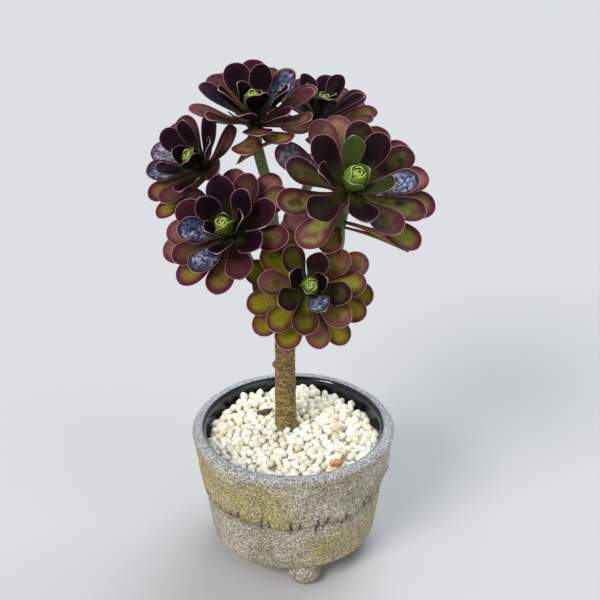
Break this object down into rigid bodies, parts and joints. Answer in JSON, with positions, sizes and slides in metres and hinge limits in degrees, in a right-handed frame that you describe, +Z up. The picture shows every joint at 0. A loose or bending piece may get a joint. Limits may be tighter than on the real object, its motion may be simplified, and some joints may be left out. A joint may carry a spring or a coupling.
{
  "type": "potted aeonium",
  "caption": "Branching dark-leaved aeonium with open rosettes on a bare woody trunk, in a round footed stoneware pot topped with pale pumice gravel.",
  "frame": {"origin": "middle of the object's box, on the plane that the pot's three feet rest on", "axes": "+Z up along the trunk, -Y towards the front, where the lowest rosette faces, +X to the right seen from the front"},
  "size_m": [0.1521, 0.127, 0.2951],
  "materials": {
    "stoneware": "rough grey stoneware with dark iron speckle and ochre flashes, glossy near-black glaze inside",
    "plastic_mesh": "black plastic drainage mesh",
    "soil": "dark crumbly potting soil",
    "pumice": "matte cream pumice grains",
    "orange_stone": "matte orange-brown stone",
    "peach_stone": "matte peach stone",
    "bark_litter": "dry dark bark",
    "bark": "brown speckled bark with leaf scars, olive low down",
    "green_stem": "satin green-brown fleshy stem",
    "rosette_leaf": "glossy fleshy leaf, near-black burgundy to olive green with a pale margin line",
    "old_leaf": "glossy fleshy older leaf, olive with red-purple margin"
  },
  "bodies": {
    "root": {"pot": "stoneware", "drainage_mesh": "plastic_mesh", "potting_soil": "soil", "gravel_top_dressing": "pumice", "orange_grain": "orange_stone", "peach_grain": "peach_stone", "bark_flake": "bark_litter", "trunk": "bark", "branch_centre": "green_stem", "branch_front": "green_stem", "branch_left": "green_stem", "branch_right": "green_stem", "branch_top": "green_stem", "branch_far_left": "green_stem", "branch_back": "green_stem", "rosette_front": "rosette_leaf", "rosette_left": "rosette_leaf", "rosette_right": "rosette_leaf", "rosette_far_left": "rosette_leaf", "rosette_top": "rosette_leaf", "rosette_back": "rosette_leaf", "stem_leaf_right_1": "old_leaf", "stem_leaf_right_2": "old_leaf", "stem_leaf_right_3": "old_leaf", "stem_leaf_right_4": "old_leaf", "stem_leaf_top_1": "old_leaf", "stem_leaf_top_2": "old_leaf", "stem_leaf_left_1": "old_leaf", "stem_leaf_back_1": "old_leaf", "stem_leaf_back_2": "old_leaf"}
  },
  "joints": []
}
